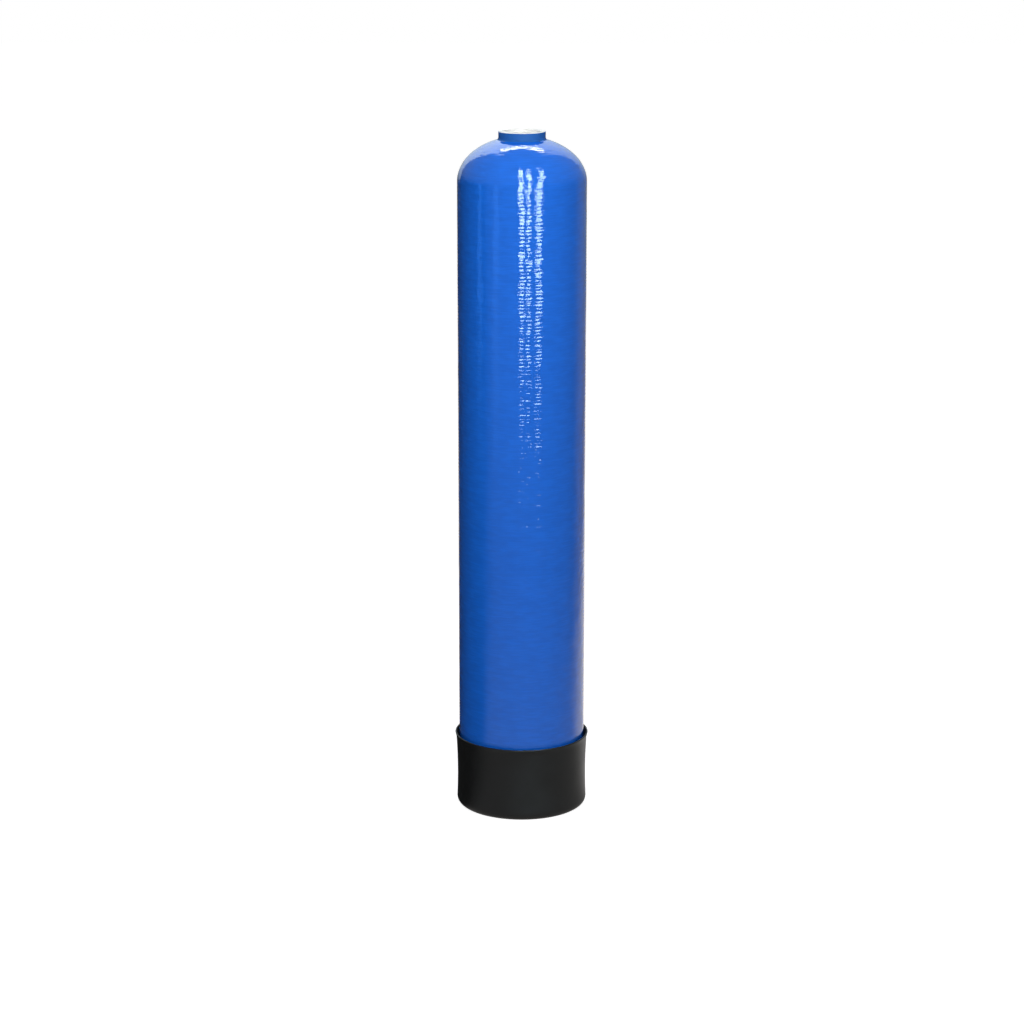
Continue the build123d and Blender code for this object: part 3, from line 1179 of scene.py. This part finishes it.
@dataclass
class Inside:
    """What the vessel holds: its liner, the riser tube and the strainer."""

    liner: MouldedPlastic
    riser: MouldedPlastic
    strainer: MouldedPlastic
    riser_wall: float = 2.9
    riser_chamfer: float = 0.6
    around: int = 64
    sharp_from: float = 30.0

    def build_riser(self) -> None:
        """Build the riser tube with the chamfers of its saw cut."""
        low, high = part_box("riser_tube")
        outer = max(high[0], high[1]) / MM
        inner = outer - self.riser_wall
        bottom, top = low[2] / MM, high[2] / MM
        cut = self.riser_chamfer
        outline = [(inner, bottom), (outer, bottom), (outer, top - cut)]
        outline += [(outer - cut, top), (inner + cut, top), (inner, top - cut)]
        piece = revolve("riser_tube_dressed", outline, self.around)
        piece.data.materials.append(self.riser.build())
        smooth(piece, self.sharp_from)
        mount(piece, Slot.RISER, "riser_tube")

    def build(self, nodes: dict[str, bpy.types.Object]) -> None:
        """Build the riser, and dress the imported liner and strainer.

        Args:
            nodes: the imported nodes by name.
        """
        self.build_riser()
        dress(nodes["liner"], self.liner.build())
        strainer = self.strainer.build()
        for name in ("strainer_basket", "strainer_cap"):
            dress(nodes[name], strainer)


class Beam(Enum):
    """What a studio light does for the picture."""

    BOTH = "lights the tank and shows in its gloss"
    FILL = "only lights the tank"
    SHINE = "only shows in its gloss"


@dataclass(frozen=True)
class Softbox:
    """A long studio light that faces the tank, out of the camera's sight.

    It runs from its low end to its high end, in metres. Each lit length of it gives
    where that starts and ends, as shares of the whole, and its part of the radiance,
    which is how bright the light's face is.
    """

    name: str
    beam: Beam
    low: Place
    high: Place
    width: float
    radiance: float
    tint: str = WHITE
    lit: tuple[Place, ...] = ((0.0, 1.0, 1.0),)

    def build(self) -> None:
        """Place the light's lamps."""
        start, end = Vector(self.low), Vector(self.high)
        for first, last, part in self.lit:
            self.build_lamp(start.lerp(end, first), start.lerp(end, last), part)
        LOG.info("%s: %s", self.name, self.beam.value)

    def build_lamp(self, low: Vector, high: Vector, part: float) -> None:
        """Place one lamp.

        Args:
            low: its lower end.
            high: its upper end.
            part: its part of the radiance.
        """
        middle = (low + high) / 2
        along = (high - low).normalized()
        back = middle - Vector((0.0, 0.0, 1.0))
        back = (back - along * back.dot(along)).normalized()
        turn = Matrix((along.cross(back), along, back)).transposed()

        lamp = bpy.data.lights.new(self.name, "AREA")
        lamp.shape = "RECTANGLE"
        lamp.size = self.width
        lamp.size_y = (high - low).length
        lamp.energy = part * self.radiance * math.pi * lamp.size * lamp.size_y
        lamp.color = linear(self.tint)[:3]
        holder = bpy.data.objects.new(self.name, lamp)
        holder.matrix_world = Matrix.Translation(middle) @ turn.to_4x4()
        holder.visible_camera = False
        holder.visible_glossy = self.beam is not Beam.FILL
        holder.visible_diffuse = self.beam is not Beam.SHINE
        bpy.context.scene.collection.objects.link(holder)


# Lit lengths of the tubes, with the dark caps between them that break the streaks up
TUBE_1_LIT = ((0, 0.05, 0.6), (0.05, 0.36, 0.9), (0.42, 0.58, 1), (0.68, 1, 1))
TUBE_2_LIT = ((0, 0.05, 0.6), (0.05, 0.3, 0.9), (0.39, 0.72, 1), (0.8, 0.97, 0.7))
TUBE_3_LIT = ((0, 0.05, 0.6), (0.05, 0.46, 0.9), (0.56, 0.84, 1), (0.93, 1, 0.4))


@dataclass(frozen=True)
class GlowingTent:
    """Glowing grey cloth round the tank, which only its gloss sees: it paints the tank's reflections.

    It glows dark at the left, so the wall's left edge is dark, and light low down behind
    to the right. A glowing white card behind paints a reflected sheen in the upper dome, and
    glowing white paper on the floor behind paints a reflection in the lower wall. Bearings are
    in degrees to the right of the camera's side. A shade of 1 is white. The shades meet
    straight behind the tank.
    """

    radius: float = 6.0
    tint: str = "#ecfbff"
    middle: float = 1.3
    step: int = 3
    side_shades: tuple[Point, ...] = (
        (-180, 0.32),
        (-155, 0.03),
        (-72, 0.03),
        (-52, 0.25),
        (0, 0.26),
        (60, 0.2),
        (106, 0.16),
        (122, 0.36),
        (180, 0.32),
    )
    rows_below: int = 3  # rows of the tent under the level of its middle
    cloth_drop_mm: float = 0.2
    rings: tuple[float, ...] = (0.05, 0.5, 0.8, 1.1, 1.4, 1.7, 2.1, 2.6, 3.2, 4.2)
    # painted pool of light: the floor cloth glows brighter near the tank, standing for the key lamp's light
    # on the floor
    painted_pool_shade: float = 0.5
    painted_pool_shares: tuple[Point, ...] = ((0.7, 1), (1.8, 0))  # by reach
    painted_pool_sides: tuple[Point, ...] = ((-72, 0), (-52, 1))  # by bearing
    # glowing white paper behind the tank: a painted reflection of a white floor, seen in the lower wall
    paper_shares: tuple[Point, ...] = ((-180, 1), (-155, 0), (95, 0), (115, 1))
    paper_sides: tuple[Point, ...] = ((0.95, 1), (1.45, 0))  # by distance to the side
    roof_shade: float = 0.4
    roof_shares: tuple[Point, ...] = ((-2, 0), (12, 1))
    # the card glows brighter than white: a painted sheen on the upper dome
    card_half_width: float = 39.0
    card_shades: tuple[Point, ...] = ((-180, 2.8), (-141, 3.3), (141, 1.9), (180, 2.4))
    card_shares: tuple[Point, ...] = ((-7.4, 0), (0, 0.25), (45, 1), (61, 1), (62, 0))

    def read(self, table: tuple[Point, ...], at: float) -> float:
        """Read a table, between its two rows round a place.

        Args:
            table: rows of a place and its value, in order.
            at: the place.

        Returns:
            The value. Past an end of the table it is that of the end's row.
        """
        if at <= table[0][0]:
            return table[0][1]
        for (a0, s0), (a1, s1) in zip(table, table[1:]):
            if at <= a1:
                return s0 + (s1 - s0) * (at - a0) / (a1 - a0)
        return table[-1][1]

    def side_shade(self, bearing: float, elevation: float) -> float:
        """Give how bright the tent glows over the floor.

        Args:
            bearing: direction from the tank, in degrees.
            elevation: angle above the horizon, in degrees.

        Returns:
            The shade.
        """
        shade = self.read(self.side_shades, bearing)
        shade += (self.roof_shade - shade) * self.read(self.roof_shares, elevation)
        if 180 - abs(bearing) < self.card_half_width:
            card = self.read(self.card_shades, bearing)
            shade = max(shade, card * self.read(self.card_shares, elevation))
        return shade

    def floor_shade(self, bearing: float, reach: float) -> float:
        """Give the glow of the floor cloth: a painted pool of light near the tank, and painted white paper
        behind it.

        Args:
            bearing: direction from the tank, in degrees.
            reach: distance from the tank.

        Returns:
            The shade.
        """
        cloth = self.read(self.side_shades, bearing)
        # painted pool of light: the cloth glows brighter near the tank
        pool = self.read(self.painted_pool_shares, reach) * self.read(self.painted_pool_sides, bearing)
        cloth += (self.painted_pool_shade - cloth) * pool
        aside = abs(reach * math.sin(math.radians(bearing)))
        paper = self.read(self.paper_shares, bearing) * self.read(self.paper_sides, aside)
        return cloth + (1 - cloth) * paper

    def build(self) -> None:
        """Build the glowing tent, and the glowing cloth on the floor."""
        lowest = -math.degrees(math.atan(self.middle / self.radius))
        bearings = range(-180, 181, self.step)
        bends = [angle for angle, _ in self.card_shares]
        elevations = sorted({lowest, *range(-self.rows_below * self.step, 91, self.step), *bends})
        sides, ground = [], []
        for elevation in elevations:
            e = math.radians(elevation)
            reach, rise = self.radius * math.cos(e), self.middle + self.radius * math.sin(e)
            sides += [(b, reach, rise, self.side_shade(b, elevation)) for b in bearings]
        for reach in (*self.rings, self.radius):
            ground += [(b, reach, -self.cloth_drop_mm * MM, self.floor_shade(b, reach)) for b in bearings]
        self.place("studio_tent", sides, len(bearings), self.tint)
        self.place("studio_floor_cloth", ground, len(bearings), WARM)

    def place(self, name: str, spots: list[tuple[float, ...]], across: int, tint: str) -> None:
        """Place one glowing cloth, out of sight of all but the gloss, whose glow paints reflections on the
        tank.

        Args:
            name: the cloth's name.
            spots: bearing, distance, height and shade of its points, row by row.
            across: number of points in a row.
            tint: colour of the light that it gives.
        """
        turned = [(math.radians(bearing), reach, rise) for bearing, reach, rise, _ in spots]
        points = [(reach * math.sin(a), -reach * math.cos(a), rise) for a, reach, rise in turned]
        corners = [i for i in range(len(points) - across) if (i + 1) % across]
        mesh = bpy.data.meshes.new(name)
        mesh.from_pydata(points, [], [(i, i + 1, i + 1 + across, i + across) for i in corners])
        attribute = mesh.attributes.new(Mark.SHADE.value, "FLOAT", "POINT")
        attribute.data.foreach_set("value", [shade for _, _, _, shade in spots])
        cloth = placed(name, mesh)
        material = bpy.data.materials.new(name)
        node = partial(add, cleared(material))
        shade = node("ShaderNodeAttribute", attribute_name=Mark.SHADE.value)["Fac"]
        # the cloth glows as bright as its shade: painted reflections, which only the gloss sees
        grey = node("ShaderNodeEmission", {"Color": linear(tint), "Strength": shade})["Emission"]
        node("ShaderNodeOutputMaterial", {"Surface": grey})
        mesh.materials.append(material)
        for ray in ("camera", "diffuse", "transmission", "volume_scatter", "shadow"):
            setattr(cloth, f"visible_{ray}", False)


@dataclass
class Studio:
    """Pale floor, plain soft light, and a camera at the photograph's angle."""

    camera_distance: float = 5.619
    camera_height: float = 1.985
    camera_pitch: float = 13.72
    camera_yaw: float = 0.2
    lens: float = 100.7
    sensor_width: float = 36.0
    farthest: float = 100.0
    floor_size: float = 40.0
    floor_drop_mm: float = 0.4
    floor_colour: str = "#c8c8c8"
    floor_glow: float = 0.93
    world_fill: float = 0.13
    tent: GlowingTent = GlowingTent()
    lights: tuple[Softbox, ...] = (
        Softbox("key", Beam.FILL, (0.15, -2.5, 2.0), (0.15, -1.7, 2.9), 1.2, 13.8),
        Softbox("tube_1", Beam.SHINE, (-0.03, -2.6, 0.76), (-0.03, -2, 4.3), 0.34, 22, COOL, TUBE_1_LIT),
        Softbox("tube_2", Beam.SHINE, (0.5, -2.56, 0.76), (0.63, -1.9, 4.3), 0.24, 22, COOL, TUBE_2_LIT),
        Softbox("tube_3", Beam.SHINE, (1.2, -2.31, 0.7), (1.43, -1.34, 4.0), 0.45, 19, COOL, TUBE_3_LIT),
        Softbox("glint_1", Beam.SHINE, (-1.87, -1.81, 0.5), (-1.87, -1.81, 1.3), 0.4, 2, BLUE),
        Softbox("glint_2", Beam.SHINE, (-2.5, -0.5, 0.5), (-2.5, -0.5, 1.3), 0.35, 2, BLUE),
        Softbox("back_box", Beam.BOTH, (0, 1.15, 2.83), (0, 0.95, 2.97), 1.1, 11),
    )

    def build_camera(self) -> None:
        """Place the camera and make it the scene's own."""
        camera = bpy.data.cameras.new("camera")
        camera.lens = self.lens
        camera.sensor_width = self.sensor_width
        camera.clip_end = self.farthest
        holder = bpy.data.objects.new("camera", camera)
        holder.location = (0.0, -self.camera_distance, self.camera_height)
        holder.rotation_euler = (math.radians(90 - self.camera_pitch), 0.0, math.radians(self.camera_yaw))
        bpy.context.scene.collection.objects.link(holder)
        bpy.context.scene.camera = holder

    def build_world(self) -> None:
        """Light the scene evenly, and show white wherever the world is seen."""
        world = bpy.data.worlds.new("studio")
        tree = cleared(world)
        ends = {"Value": self.seen(tree), "To Min": self.world_fill, "To Max": 1.0}
        strength = add(tree, "ShaderNodeMapRange", ends)["Result"]
        light = {"Color": linear(WHITE), "Strength": strength}
        background = add(tree, "ShaderNodeBackground", light)["Background"]
        add(tree, "ShaderNodeOutputWorld", {"Surface": background})
        bpy.context.scene.world = world

    def seen(self, tree: Tree) -> Socket:
        """Add a test for the rays that show a surface, straight or in gloss or glass.

        Args:
            tree: tree of the surface's material or of the world.

        Returns:
            1 for those rays, and 0 for the others.
        """
        path = add(tree, "ShaderNodeLightPath")
        rays = {0: path["Is Camera Ray"], 1: path["Is Glossy Ray"]}
        direct = add(tree, "ShaderNodeMath", rays, operation="MAXIMUM")["Value"]
        rays = {0: direct, 1: path["Is Transmission Ray"]}
        return add(tree, "ShaderNodeMath", rays, operation="MAXIMUM")["Value"]

    def build_floor(self) -> None:
        """Lay the white paper floor, which keeps the tank's soft shadow."""
        half, drop = self.floor_size / 2, -self.floor_drop_mm * MM
        corners = [(-half, -half, drop), (half, -half, drop), (half, half, drop), (-half, half, drop)]
        mesh = bpy.data.meshes.new("studio_floor")
        mesh.from_pydata(corners, [], [(0, 1, 2, 3)])
        floor = placed("studio_floor", mesh)
        material = bpy.data.materials.new("white_paper")
        tree = cleared(material)
        node = partial(add, tree)
        paper = node("ShaderNodeBsdfDiffuse", {"Color": linear(self.floor_colour)})["BSDF"]
        inputs = {0: self.seen(tree), 1: self.floor_glow}
        strength = node("ShaderNodeMath", inputs, operation="MULTIPLY")["Value"]
        glow = node("ShaderNodeEmission", {"Color": linear(WHITE), "Strength": strength})["Emission"]
        both = node("ShaderNodeAddShader", {0: paper, 1: glow})["Shader"]
        node("ShaderNodeOutputMaterial", {"Surface": both})
        mesh.materials.append(material)

    def build(self) -> None:
        """Build the whole studio."""
        bpy.context.scene.view_settings.view_transform = "Standard"
        self.build_world()
        self.build_floor()
        self.build_camera()
        self.tent.build()
        for light in self.lights:
            light.build()


def main() -> None:
    """Build the tank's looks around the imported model, and the studio."""
    logging.basicConfig(level=logging.INFO, format="%(name)s: %(message)s")
    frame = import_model()

    wall = WoundWall(WoundResin(), COLLAR_RESIN)
    wall.build()
    NeckInsert(NATURAL_PLASTIC).build(wall)
    Boot(BLACK_POLYETHYLENE).build(wall)
    Inside(liner=BLOWN_POLYETHYLENE, riser=WHITE_PVC, strainer=GREY_ABS).build(frame["nodes"])

    Studio().build()


if __name__ == "__main__":
    main()
